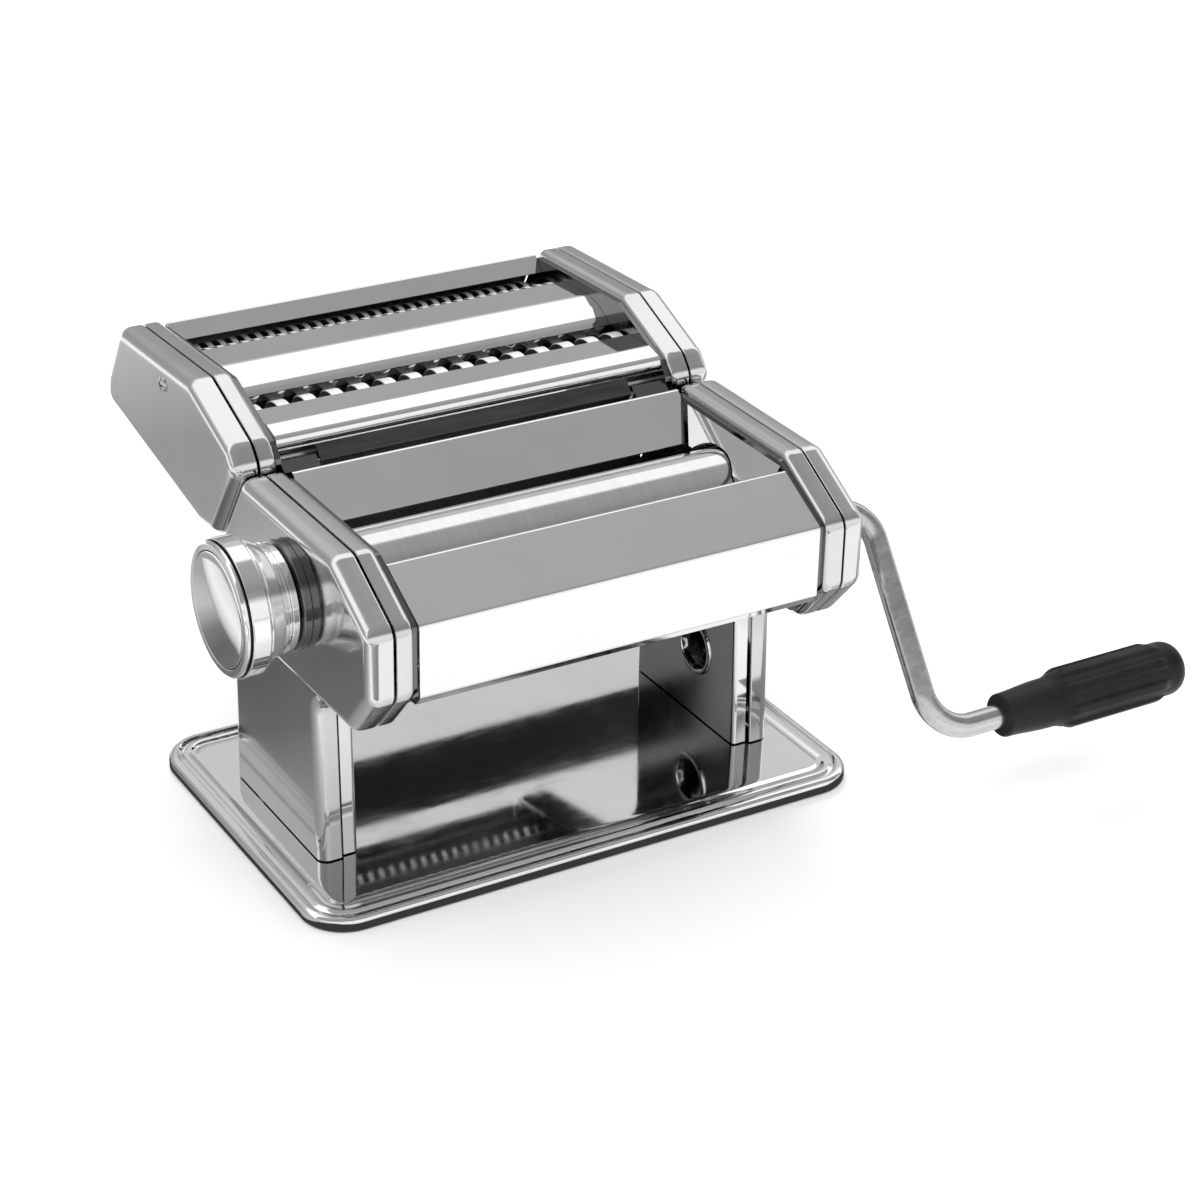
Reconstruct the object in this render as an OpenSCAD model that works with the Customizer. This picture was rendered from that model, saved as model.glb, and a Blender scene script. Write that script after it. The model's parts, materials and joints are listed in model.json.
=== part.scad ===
// Hand-cranked pasta roller with a lift-off cutter head.
// X runs along the rollers (the crank is on +X, the thickness knob on -X), Y runs from the front
// to the back, Z is up. The origin is on the table, under the middle of the base.

/* [Base and legs] */
// Length of the base along the rollers
base_length = 200; // [190:1:210]
// Depth of the base from front to back
base_depth = 130; // [125:1:140]
// Corner radius of the base
base_corner = 15; // [8:1:20]
// Height of the flat top of the base
base_top = 5; // [4.5:0.1:6]
// Thickness of the pressed sheet of the base and leg covers
sheet = 1.2; // [1:0.1:1.4]
// Radius of the hole in each leg's inner wall
leg_hole_r = 8; // [6:0.5:9]
// Height of the hole in each leg's inner wall
leg_hole_z = 31.6; // [25:0.1:40]

/* [Body] */
// Inner face of the side frames, measured from the middle
side_frame_x = 70.5; // [70.2:0.1:70.7]
// Seam between each end cap and its band
seam_x = 79; // [78.5:0.1:79.5]
// Outer face of the end caps
cap_x = 87.5; // [87.2:0.1:88]
// Height of the top of the body
body_top = 121.5; // [120:0.5:123]
// Radius of the corners of the end cap outlines
outline_r = 5; // [4:0.5:6]
// Radius of the rounded edge of the end caps
cap_edge_r = 4.5; // [4:0.25:5]

/* [Rollers] */
// Radius of the two smooth rollers
roller_r = 15; // [14:0.25:15]
// Depth of the crank-driven front roller's axis
front_roller_y = -51.5; // [-52:0.1:-51]
// Height of both roller axes
roller_z = 97; // [96.5:0.1:97.5]
// Distance between the roller axes on the thinnest setting
roller_spacing = 30.5; // [30.4:0.05:31]
// How far the rear roller opens on the thickest setting
gap_travel = 2.5; // [1.5:0.1:2.5]
// Number of teeth on the roller gears
roller_teeth = 16; // [15:1:18]
// Radius of the crank socket
socket_r = 4.1; // [4.06:0.01:4.1]

/* [Knob] */
// Outer face of the thickness knob
knob_face_x = 112.5; // [112:0.1:113]
// Largest radius of the knob
knob_r = 21.8; // [21:0.1:22.5]
// Angle that the knob turns between its end settings
knob_sweep = 270; // [240:5:270]

/* [Crank] */
// Radius of the crank rod
rod_r = 4; // [3.9:0.01:4]
// Plane in which the crank arm lies
crank_arm_x = 104; // [102:0.5:106]
// Length of the crank arm between its two bends' corners
crank_arm = 78; // [70:1:90]
// Angle of the crank arm forward of straight down
crank_tilt = 36; // [20:1:50]
// Inner end of the grip
grip_start_x = 130; // [128:0.5:134]
// Outer end of the grip
grip_end_x = 204; // [198:0.5:208]

/* [Cutter head] */
// Angle between the docking face and upright
dock_angle = 34; // [34:1:34]
// Clear gap between the body and the cutter head
dock_gap = 1.5; // [1.4:0.1:1.7]
// Radius of the cutting discs
disc_r = 9.8; // [9.6:0.1:9.8]
// Radius of the cutter cores between the discs
core_r = 7.6; // [7:0.1:7.7]
// Distance between neighbouring discs of a fine cutter
fine_pitch = 4.5; // [4.4:0.1:4.6]
// Distance between neighbouring discs of a wide cutter
wide_pitch = 9.6; // [9.4:0.1:9.6]
// Number of teeth on the cutter gears
cutter_teeth = 12; // [12:1:14]

/* [Hidden] */
$fn = 64;
play = 0.06;              // radial running clearance of a shaft in its bearing
fit = 0.1;                // radial clearance of a fixed part in its hole
frame_t = 1.8;            // thickness of the side frames
panel_t = 0.8;            // thickness of the folded panels
cap_t = 1;                // thickness of the end cap shells
frame_out = side_frame_x + frame_t;
barrel_x = side_frame_x - 0.7;
bush_in = side_frame_x - 0.3;
bush_out = frame_out + 3.2;
gear_x = frame_out + 4.2;
gear_w = 6;
leg_seam_x = 76;
leg_out_x = 83;
leg_top = 66.6;
leg_screw_x = 77;
leg_screw_y = [-14, 16];
skirt_z = 0.4;
base_ceiling = base_top - sheet;
rear_roller_y = front_roller_y + roller_spacing;
front_axis = [front_roller_y, roller_z];
rear_axis = [rear_roller_y, roller_z];
roller_module = roller_spacing / roller_teeth;
carriage_half = 8;
dock_body = 79;           // distance of the body's docking face from the origin, along its normal
dock_cutter = dock_body + dock_gap;
function dock_y(z, offset) = (offset - sin(dock_angle) * z) / cos(dock_angle);

body_outline = [
    [dock_y(body_top, dock_body), body_top], [-50, body_top], [-76, 107], [-76, 84],
    [-62, 68], [26, 67], [dock_y(86, dock_body), 86]];
cutter_outline = [
    [110, 137.5], [51, 140], [22, 128.5], [dock_y(121, dock_cutter), 121],
    [dock_y(92, dock_cutter), 92], [48, 91], [125, 106], [123, 116]];
leg_outline = [[30.8, 72], [-28.3, 72], [-30.5, base_top], [32.5, base_top]];

wide_front = [47, 118.5];
fine_front = [90.5, 121.8];
pair_step = [17, -5];
wide_rear = wide_front + pair_step;
fine_rear = fine_front + pair_step;
pair_angle = atan2(pair_step[1], pair_step[0]);
cutter_module = norm(pair_step) / cutter_teeth;
fine_count = 31;
wide_count = 15;
tie_points = [[-66.5, 84], [10, 78], [13, 108]];
cutter_tie_points = [[30, 117], [78, 108]];
crank_dir = [-sin(crank_tilt), -cos(crank_tilt)];
knob_inner_x = 95.5;
collar_face_x = 91;
detent_r = 12;
rail_x = 63;
rail_low = 62;
rail_high = 86;

// ---------- outlines ----------

function unit(v) = v / norm(v);
function left_normal(a, b) = let(d = unit(b - a)) [-d[1], d[0]];
function around(p, i) = p[(i + len(p)) % len(p)];

// A closed outline, drawn anticlockwise, moved inwards by d.
function inset(p, d) = [for (i = [0:len(p) - 1])
    let(n1 = left_normal(around(p, i - 1), p[i]), n2 = left_normal(p[i], around(p, i + 1)))
    p[i] + (n1 + n2) * d / (1 + n1 * n2)];

// A closed outline with every corner rounded to radius r.
function rounded(p, r, steps = 5) = [for (i = [0:len(p) - 1])
    let(n1 = left_normal(around(p, i - 1), p[i]), n2 = left_normal(p[i], around(p, i + 1)),
        centre = p[i] + (n1 + n2) * r / (1 + n1 * n2))
    for (k = [0:steps]) centre - r * unit(n1 * (steps - k) + n2 * k)];

function shell_outline(p, d) = rounded(inset(p, d), max(outline_r - d, 0.8));

// The two long sides of a folded sheet whose thickness lies to the left of its path.
function strip(path, t) = concat(path, [for (i = [len(path) - 1:-1:0])
    let(n1 = left_normal(path[max(i - 1, 0)], path[max(i, 1)]),
        n2 = left_normal(path[min(i, len(path) - 2)], path[min(i + 1, len(path) - 1)]))
    path[i] + (n1 + n2) * t / (1 + n1 * n2)]);

function rectangle_outline(length, depth) = [
    [length / 2, -depth / 2], [length / 2, depth / 2],
    [-length / 2, depth / 2], [-length / 2, -depth / 2]];

// Polar angle, in degrees, of an involute of the base circle at radius r.
function involute_angle(r, base) =
    let(t = sqrt(max(0, pow(r / base, 2) - 1))) t * 180 / PI - atan(t);

// A spur gear outline with its first tooth centred on the given phase angle.
function gear_outline(teeth, mod, phase) =
    let(pitch = teeth * mod / 2, base = pitch * cos(20), tip = pitch + mod,
        root = pitch - 1.25 * mod, backlash = 0.12 * mod, steps = 4)
    [for (i = [0:teeth - 1], side = [-1, 1], k = [0:steps])
        let(j = side < 0 ? k : steps - k, r = root + (tip - root) * j / steps,
            half = 90 / teeth - backlash / pitch * 90 / PI
                + involute_angle(pitch, base) - involute_angle(max(r, base), base),
            a = phase + i * 360 / teeth + side * half)
        r * [cos(a), sin(a)]];

// ---------- placing ----------

// Extrudes a (Y, Z) outline along X.
module along_x(x0, x1) {
    translate([x0, 0, 0]) rotate([90, 0, 90]) linear_extrude(height = x1 - x0) children();
}

module x_rod(at, x0, x1, r) {
    translate([x0, at[0], at[1]]) rotate([0, 90, 0]) cylinder(r = r, h = x1 - x0);
}

module sheet_along_x(path, t, half) {
    along_x(-half, half) polygon(strip(path, t));
}

module mirrored(left) {
    mirror([left ? 1 : 0, 0, 0]) children();
}

module both_sides() {
    children();
    mirror([1, 0, 0]) children();
}

// Local Y becomes the docking face's normal and local Z runs up the face.
module on_dock() {
    rotate([dock_angle, 0, 0]) children();
}

// ---------- base and legs ----------

module base_layer(d, z0, z1) {
    translate([0, 0, z0]) linear_extrude(height = z1 - z0)
        polygon(rounded(inset(rectangle_outline(base_length, base_depth), d),
            base_corner - d, 10));
}

module leg_screw_places() {
    for (side = [-1, 1], y = leg_screw_y) translate([side * leg_screw_x, y, 0]) children();
}

module base_plate() {
    color("silver") difference() {
        union() {
            base_layer(0, skirt_z, 4.4);
            base_layer(1.2, 4.4, 5.2);
        }
        base_layer(sheet, skirt_z - 1, base_ceiling);
        base_layer(9, base_top, base_top + 1);
        leg_screw_places() cylinder(r = 2.5, h = 10);
    }
}

module rubber_pad() {
    color("dimgray") difference() {
        base_layer(4, 0, base_ceiling);
        leg_screw_places() translate([0, 0, -1]) cylinder(r = 5.5, h = 6);
    }
}

module leg_screws() {
    color("gray") leg_screw_places() {
        translate([0, 0, base_ceiling - 2]) cylinder(r = 4.2, h = 2);
        translate([0, 0, base_ceiling]) cylinder(r = 2.4, h = 6);
    }
}

module carriage_window() {
    translate([side_frame_x - 1, rear_roller_y - carriage_half - 0.2,
            roller_z - carriage_half - 0.2])
        cube([frame_t + 2, 2 * carriage_half + 0.4 + gap_travel + 0.2,
            2 * carriage_half + 0.4]);
}

module side_frame(left) {
    color("gainsboro") mirrored(left) difference() {
        union() {
            along_x(side_frame_x, frame_out) polygon(rounded(inset(body_outline, 2.4), 3));
            along_x(side_frame_x, frame_out) polygon(leg_outline);
            along_x(frame_out, leg_seam_x) difference() {
                polygon(leg_outline);
                polygon(inset(leg_outline, frame_t));
            }
            translate([frame_out, -24, base_top]) cube([8.5, 50, frame_t]);
        }
        carriage_window();
        x_rod(front_axis, side_frame_x - 1, frame_out + 1, 9.05);
        x_rod([-5, leg_hole_z], side_frame_x - 1, frame_out + 1, leg_hole_r);
        for (p = tie_points) x_rod(p, side_frame_x - 1, frame_out + 1, 2);
        for (y = leg_screw_y) translate([leg_screw_x, y, 0]) cylinder(r = 2.5, h = 12);
        along_x(frame_out, leg_seam_x + 1) polygon([[-24, 60], [26, 60], [26, 90], [-24, 90]]);
        along_x(frame_out, leg_seam_x + 1) polygon([[-40, 66.4], [40, 66.4], [40, 90], [-40, 90]]);
    }
}

module left_side_frame() { side_frame(true); }
module right_side_frame() { side_frame(false); }

module leg_cover(left) {
    wall = leg_out_x - sheet;
    color("silver") mirrored(left) difference() {
        along_x(leg_seam_x, leg_out_x) polygon(leg_outline);
        along_x(leg_seam_x - 1, wall) intersection() {
            polygon(inset(leg_outline, sheet));
            translate([-40, base_top + sheet]) square([80, 90]);
        }
        along_x(leg_seam_x - 1, wall) translate([-28, 0]) square([58, base_top + 2 * sheet]);
        translate([leg_seam_x - 1, -50, leg_top]) cube([20, 100, 20]);
    }
}

module left_leg_cover() { leg_cover(true); }
module right_leg_cover() { leg_cover(false); }

// ---------- end caps ----------

module end_band(outline) {
    difference() {
        along_x(frame_out, seam_x) polygon(rounded(outline, outline_r));
        along_x(frame_out + cap_t, seam_x + 1) polygon(shell_outline(outline, cap_t));
        along_x(frame_out - 1, seam_x) polygon(shell_outline(outline, 3));
    }
}

// A drawn cap whose outer edge is rounded in three steps.
module end_cap(outline) {
    edge_x = cap_x - cap_edge_r;
    steps = 3;
    difference() {
        union() {
            along_x(seam_x, edge_x) polygon(rounded(outline, outline_r));
            for (k = [1:steps]) {
                x = cap_edge_r * k / steps;
                d = cap_edge_r - sqrt(pow(cap_edge_r, 2) - pow(x - cap_edge_r / steps / 2, 2));
                along_x(edge_x, edge_x + x) polygon(shell_outline(outline, d));
            }
        }
        along_x(seam_x - 1, edge_x) polygon(shell_outline(outline, cap_t));
        along_x(edge_x - 1, cap_x - cap_t) polygon(shell_outline(outline, cap_edge_r));
    }
}

module left_body_band() { color("silver") mirrored(true) end_band(body_outline); }
module right_body_band() { color("silver") end_band(body_outline); }

module left_body_cap() {
    color("silver") mirrored(true) difference() {
        end_cap(body_outline);
        x_rod(rear_axis, cap_x - 4, cap_x + 1, 9.1);
    }
}

module right_body_cap() {
    color("silver") difference() {
        end_cap(body_outline);
        x_rod(front_axis, cap_x - 4, cap_x + 1, 7.8);
        x_rod([-69, 86], cap_x - 4, cap_x + 1, 1.6);
    }
}

module body_cap_screw() {
    color("gray") {
        x_rod([-69, 86], cap_x, cap_x + 1.6, 3);
        x_rod([-69, 86], cap_x - 6, cap_x, 1.5);
    }
}

// ---------- body panels and hidden structure ----------

module front_panel() {
    path = [[-66, 78.5], [-72, 78.8], [-73.9, 80.2], [-74.5, 82.5], [-74.5, 106],
        [-53, 117.3], [-51.5, 116.6]];
    color("silver") along_x(-side_frame_x, side_frame_x)
        polygon(strip([for (i = [len(path) - 1:-1:0]) path[i]], panel_t));
}

module rear_cover() {
    face = dock_body - 0.8;
    path = [[-5, 106], [dock_y(119.5, face) - 1.5, 120.6], [dock_y(119.3, face), 119.3],
        [dock_y(88, face), 88], [26, 72]];
    color("silver") sheet_along_x([for (i = [len(path) - 1:-1:0]) path[i]], panel_t,
        side_frame_x);
}

// Sloping plates at the ends of the hopper, cut to follow the rollers.
module hopper_cheeks() {
    top_z = 117.5;
    clear = roller_r + 0.6;
    color("silver") both_sides() difference() {
        intersection() {
            translate([0, 20, 0]) rotate([90, 0, 0]) linear_extrude(height = 80)
                polygon([[side_frame_x, 96], [side_frame_x, top_z], [64.8, 108], [64.8, 96]]);
            along_x(60, 72) polygon([[-51, 100], [-7.6, 100], [-7.6, 106], [5.1, 117.5],
                [-50.5, 117.5]]);
        }
        x_rod(front_axis, 60, 75, clear);
        for (shift = [0, gap_travel / 2, gap_travel])
            x_rod(rear_axis + [shift, 0], 60, 75, clear);
        translate([60, -50, 90]) cube([15, 45, 15.5]);
    }
}

module tie_rods() {
    color("darkgray") for (p = tie_points) difference() {
        x_rod(p, -side_frame_x, side_frame_x, 3);
        both_sides() x_rod(p, side_frame_x - 10, side_frame_x + 1, 2);
    }
}

module tie_rod_screws() {
    color("gray") both_sides() for (p = tie_points) {
        x_rod(p, frame_out, frame_out + 2, 3.5);
        x_rod(p, side_frame_x - 9, frame_out, 1.9);
    }
}

module roller_scrapers() {
    color("darkgray") {
        sheet_along_x([[-56.2, 81.9], [-62.6, 74.6]], panel_t, side_frame_x);
        sheet_along_x([[-8.5, 72], [-15.9, 80.9]], panel_t, side_frame_x);
    }
}

module front_roller_bushes() {
    color("ivory") difference() {
        both_sides() x_rod(front_axis, bush_in, bush_out, 9);
        x_rod(front_axis, 60, 90, 7 + play);
        x_rod(front_axis, -90, -60, 6 + play);
    }
}

module docking_rails() {
    color("gainsboro") both_sides() on_dock() translate([rail_x, 0, rail_low])
        linear_extrude(height = rail_high - rail_low)
            polygon([[-4, 78.2], [4, 78.2], [4, 78.9], [1.5, 78.9], [1.5, 81.4], [3, 81.4],
                [3, 83], [-3, 83], [-3, 81.4], [-1.5, 81.4], [-1.5, 78.9], [-4, 78.9]]);
}

// ---------- smooth rollers and their drive ----------

module crank_socket(at) {
    x_rod(at, cap_x - 15, cap_x + 1, socket_r);
    translate([cap_x - 13, at[0] - 1.1, at[1]]) cube([14, 2.2, 5.4]);
}

module front_roller() {
    color("lightgray") difference() {
        union() {
            x_rod(front_axis, -barrel_x, barrel_x, roller_r);
            x_rod(front_axis, -bush_out - 1, 0, 6);
            x_rod(front_axis, 0, cap_x - 0.5, 7);
        }
        crank_socket(front_axis);
    }
}

module gear_on(at, mod, teeth, phase, bore, x0, x1) {
    difference() {
        translate([0, at[0], at[1]]) along_x(x0, x1) polygon(gear_outline(teeth, mod, phase));
        x_rod(at, x0 - 1, x1 + 1, bore);
    }
}

module drive_gear() {
    color("darkgray")
        gear_on(front_axis, roller_module, roller_teeth, 0, 7 + fit, gear_x, gear_x + gear_w);
}

module idle_gear() {
    color("darkgray") gear_on(rear_axis, roller_module, roller_teeth,
        180 + 180 / roller_teeth, 6 + fit, gear_x, gear_x + gear_w);
}

module rear_roller() {
    color("lightgray") union() {
        x_rod(rear_axis, -barrel_x, barrel_x, roller_r);
        x_rod(rear_axis, -bush_out + 0.3, gear_x + gear_w, 6);
    }
}

// Sliding bearing blocks; the left one carries the lug that the cam pushes.
module rear_roller_bushes() {
    lug_y = rear_roller_y + 10 + 0.15;
    color("ivory") {
        both_sides() difference() {
            translate([bush_in, rear_roller_y - carriage_half, roller_z - carriage_half])
                cube([bush_out - bush_in, 2 * carriage_half, 2 * carriage_half]);
            x_rod(rear_axis, bush_in - 1, bush_out + 1, 6 + play);
        }
        translate([-bush_out - 4.5, lug_y, roller_z - 4]) cube([4.5, 4, 8]);
        translate([-bush_out, rear_roller_y + carriage_half, roller_z - 4])
            cube([3, lug_y + 4 - rear_roller_y - carriage_half, 8]);
    }
}

// ---------- thickness knob ----------

// Cam radius at an angle turned back from the lug: a spiral, a dwell and a return.
function cam_radius(a) = 10 + gap_travel
    * (a <= knob_sweep ? a / knob_sweep : a < 295 ? 1 : a < 335 ? (335 - a) / 40 : 0);

module gap_cam() {
    color("darkgray") difference() {
        translate([0, rear_roller_y, roller_z]) along_x(-bush_out - 4.5, -bush_out - 0.8)
            polygon([for (a = [0:5:355]) cam_radius(355 - a) * [cos(a - 355), sin(a - 355)]]);
        x_rod(rear_axis, -bush_out - 9, -bush_out - 1.8, 5 + fit);
    }
}

module gap_shaft() {
    color("gray") {
        x_rod(rear_axis, -knob_inner_x, -bush_out - 1.9, 5);
        x_rod(rear_axis, -109.5, -knob_inner_x, 4);
    }
}

module knob_collar() {
    color("silver") difference() {
        union() {
            x_rod(rear_axis, -collar_face_x, -cap_x, 17.6);
            x_rod(rear_axis, -cap_x, -cap_x + 4, 9);
        }
        x_rod(rear_axis, -collar_face_x - 1, -cap_x + 5, 5 + play);
        for (i = [0:9]) let(a = 90 + i * knob_sweep / 9)
            x_rod(rear_axis + detent_r * [cos(a), sin(a)],
                -collar_face_x - 1, -collar_face_x + 2, 1.7);
    }
}

module collar_nut() {
    color("gray") difference() {
        translate([-cap_x + cap_t, rear_roller_y, roller_z]) rotate([0, 90, 0])
            cylinder(r = 13, h = 2.6, $fn = 6);
        x_rod(rear_axis, -cap_x, -cap_x + 5, 9 + fit);
    }
}

module detent_pin() {
    color("gray")
        x_rod(rear_axis + [0, detent_r], -knob_inner_x - 4, -collar_face_x - 0.3, 1.5);
}

module knob_body() {
    color("silver") difference() {
        translate([-knob_face_x, rear_roller_y, roller_z]) rotate([0, 90, 0]) rotate_extrude()
            polygon([[0, 1.5], [knob_r - 0.8, 1.5], [knob_r, 2.6], [knob_r, 9.5],
                [knob_r - 0.8, 9.9], [knob_r - 0.8, 10.4], [knob_r - 1.4, 10.8],
                [knob_r - 3.6, 15.6], [knob_r - 4.2, 17], [knob_r - 4.6, 21], [15.4, 21],
                [15.4, 17], [0, 17]]);
        x_rod(rear_axis, -knob_face_x, -knob_inner_x + 1, 4 + play);
        x_rod(rear_axis, -knob_face_x, -101, 8);
        x_rod(rear_axis, -knob_face_x, -knob_face_x + 2.5, 18);
        x_rod(rear_axis + [0, detent_r], -knob_inner_x - 4, -knob_inner_x + 1, 1.6);
    }
}

module knob_cap() {
    dome = 1.2;
    rim = 18.4;
    dome_r = (pow(rim, 2) + pow(dome, 2)) / (2 * dome);
    color("silver") translate([-knob_face_x, rear_roller_y, roller_z]) rotate([0, 90, 0])
        rotate_extrude() polygon(concat(
            [for (k = [0:6]) let(r = rim * k / 6) [r, dome_r - sqrt(pow(dome_r, 2) - r * r)]],
            [[rim, dome + 0.3], [0, dome + 0.3]]));
}

module knob_washer() {
    color("gray") difference() {
        x_rod(rear_axis, -109.4, -108.4, 7.6);
        x_rod(rear_axis, -110, -108, 4 + fit);
    }
}

// The spring's turns, drawn as closed rings.
module knob_spring() {
    wire_r = 0.6;
    turns = 4;
    low = -108.4 + wire_r;
    high = -101 - wire_r;
    color("gray") for (i = [0:turns - 1])
        translate([low + (high - low) * i / (turns - 1), rear_roller_y, roller_z])
            rotate([0, 90, 0]) rotate_extrude() translate([5.8, 0]) circle(r = wire_r);
}

// ---------- crank ----------

module crank_rod() {
    upper_bend = 12;
    lower_bend = 14;
    grip_axis = front_axis + crank_arm * crank_dir;
    color("silver") {
        x_rod(front_axis, cap_x - 14.5, crank_arm_x - upper_bend, rod_r);
        translate([cap_x - 12, front_axis[0] - 1, front_axis[1] + 3])
            cube([9, 2, 2.2]);
        translate([0, front_axis[0], front_axis[1]]) rotate([-crank_tilt, 0, 0]) {
            translate([crank_arm_x - upper_bend, 0, -upper_bend]) rotate([90, 0, 0])
                rotate_extrude(angle = 90) translate([upper_bend, 0]) circle(r = rod_r);
            translate([crank_arm_x, 0, -crank_arm + lower_bend])
                cylinder(r = rod_r, h = crank_arm - upper_bend - lower_bend);
            translate([crank_arm_x + lower_bend, 0, -crank_arm + lower_bend])
                rotate([90, 0, 0]) rotate([0, 0, 180]) rotate_extrude(angle = 90)
                    translate([lower_bend, 0]) circle(r = rod_r);
        }
        x_rod(grip_axis, crank_arm_x + lower_bend, grip_end_x - 16, rod_r);
    }
}

module crank_grip() {
    at = front_axis + crank_arm * crank_dir;
    length = grip_end_x - grip_start_x;
    ridges = 8;
    color([0.12, 0.12, 0.12]) difference() {
        union() {
            translate([grip_start_x, at[0], at[1]]) rotate([0, 90, 0]) rotate_extrude()
                polygon([[0, 0], [6.9, 0], [7.5, 0.8], [8.5, 20], [9.3, 24], [9.6, length - 8],
                    [9.1, length - 3], [7.6, length - 0.7], [5.5, length], [0, length]]);
            for (i = [0:ridges - 1]) translate([grip_start_x + 24, at[0], at[1]])
                rotate([i * 360 / ridges, 0, 0]) translate([0, -1.9, 7]) cube([38, 3.8, 3.4]);
        }
        x_rod(at, grip_start_x - 1, grip_end_x - 15.5, rod_r + play);
    }
}

// ---------- cutter head shell ----------

module cutter_side_plate(left) {
    color("gainsboro") mirrored(left) difference() {
        along_x(side_frame_x, frame_out) polygon(rounded(inset(cutter_outline, 2.4), 3));
        for (p = [wide_front, wide_rear, fine_front, fine_rear])
            x_rod(p, side_frame_x - 1, frame_out + 1, 8.35);
        for (p = cutter_tie_points) x_rod(p, side_frame_x - 1, frame_out + 1, 2 + fit);
    }
}

module cutter_left_side_plate() { cutter_side_plate(true); }
module cutter_right_side_plate() { cutter_side_plate(false); }

module cutter_left_band() { color("silver") mirrored(true) end_band(cutter_outline); }
module cutter_right_band() { color("silver") end_band(cutter_outline); }

module cutter_cap_hole() {
    x_rod([72, 131], cap_x - 4, cap_x + 1, 1.6);
}

module cutter_left_cap() {
    color("silver") mirrored(true) difference() {
        end_cap(cutter_outline);
        cutter_cap_hole();
    }
}

module cutter_right_cap() {
    color("silver") difference() {
        end_cap(cutter_outline);
        cutter_cap_hole();
        for (p = [wide_front, fine_front]) x_rod(p, cap_x - 4, cap_x + 1, 7.4);
    }
}

module cutter_cap_screws() {
    color("gray") both_sides() {
        x_rod([72, 131], cap_x, cap_x + 1.2, 2.8);
        x_rod([72, 131], cap_x - 6, cap_x, 1.5);
    }
}

module cutter_back_panel() {
    color("silver") sheet_along_x([[104, 131], [108.6, 136.4], [109.8, 135.9], [121.3, 116.5],
        [122.8, 108.6]], -panel_t, side_frame_x);
}

module cutter_middle_panel() {
    color("silver") sheet_along_x([[57, 127.6], [59, 129.4], [63.5, 131.9], [70, 133.9],
        [88, 133]], -panel_t, side_frame_x);
}

module cutter_front_bar() {
    color("silver") union() {
        sheet_along_x([[30, 121.4], [25, 121.8], [22.9, 123.4], [22.4, 125.8], [23.7, 127.9],
            [30, 129.5], [43, 129]], -panel_t, side_frame_x);
        sheet_along_x([[dock_y(96.5, 82), 96.5], [dock_y(118.8, 82), 118.8], [22.4, 123.1]],
            -panel_t, rail_x - 6);
    }
}

module cutter_tie_rods() {
    color("darkgray") for (p = cutter_tie_points) {
        x_rod(p, -side_frame_x, side_frame_x, 3);
        both_sides() x_rod(p, side_frame_x, frame_out + 0.6, 2);
    }
}

module docking_channels() {
    color("gainsboro") both_sides() on_dock() {
        translate([rail_x, 0, rail_low + 1]) linear_extrude(height = rail_high - rail_low)
            polygon([[-1.8, 80], [-1.8, 81.1], [-3.4, 81.1], [-3.4, 83.3], [3.4, 83.3],
                [3.4, 81.1], [1.8, 81.1], [1.8, 80], [side_frame_x - rail_x, 80],
                [side_frame_x - rail_x, 84.6], [-5, 84.6], [-5, 80]]);
        translate([rail_x - 5, 80, rail_high + 1])
            cube([side_frame_x - rail_x + 5, 4.6, 1.5]);
    }
}

// ---------- cutting rollers ----------

// Profile of a row of discs, as (radius, distance along the axis).
function disc_profile(count, pitch, width) = concat(
    [[0, -barrel_x], [core_r, -barrel_x]],
    [for (i = [0:count - 1], k = [0:3])
        let(x = (i - (count - 1) / 2) * pitch)
        [k == 1 || k == 2 ? disc_r : core_r, x + (k < 2 ? -1 : 1) * width / 2]],
    [[core_r, barrel_x], [0, barrel_x]]);

module cutting_roller(at, count, pitch, width, driven) {
    color("lightgray") difference() {
        union() {
            translate([0, at[0], at[1]]) rotate([0, 90, 0]) rotate_extrude()
                polygon(disc_profile(count, pitch, width));
            x_rod(at, -gear_x - 6, 0, 5);
            if (driven) x_rod(at, 0, cap_x - 0.5, 6.5);
            else x_rod(at, 0, bush_out, 5);
        }
        if (driven) crank_socket(at);
    }
}

module fine_front_cutter() { cutting_roller(fine_front, fine_count, fine_pitch, 2, true); }
module fine_rear_cutter() { cutting_roller(fine_rear, fine_count - 1, fine_pitch, 2, false); }
module wide_front_cutter() { cutting_roller(wide_front, wide_count, wide_pitch, 4.5, true); }
module wide_rear_cutter() { cutting_roller(wide_rear, wide_count - 1, wide_pitch, 4.5, false); }

module cutter_bushes() {
    color("ivory") for (p = [wide_front, wide_rear, fine_front, fine_rear]) {
        right_r = (p == wide_front || p == fine_front) ? 6.5 : 5;
        difference() {
            both_sides() x_rod(p, bush_in, bush_out, 8.3);
            x_rod(p, 60, 90, right_r + play);
            x_rod(p, -90, -60, 5 + play);
        }
    }
}

// The front gear points a tooth at the rear gear, which meets it with a gap.
module cutter_gear(at, front) {
    phase = pair_angle + (front ? 0 : 180 + 180 / cutter_teeth);
    color("darkgray")
        gear_on(at, cutter_module, cutter_teeth, phase, 5 + fit, -gear_x - 6, -gear_x);
}

module fine_front_gear() { cutter_gear(fine_front, true); }
module fine_rear_gear() { cutter_gear(fine_rear, false); }
module wide_front_gear() { cutter_gear(wide_front, true); }
module wide_rear_gear() { cutter_gear(wide_rear, false); }

// A stripper comb: a strip under the roller with one finger in each groove.
module comb(at, offset, grooves, pitch, width) {
    translate([-side_frame_x, at[0] + offset - 0.5, at[1] - 15])
        cube([2 * side_frame_x, 1, 5.2]);
    for (i = [0:grooves - 1])
        translate([(i - (grooves - 1) / 2) * pitch - width / 2, at[0] + offset - 0.5,
                at[1] - 10])
            cube([width, 1, 3.1]);
}

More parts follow.
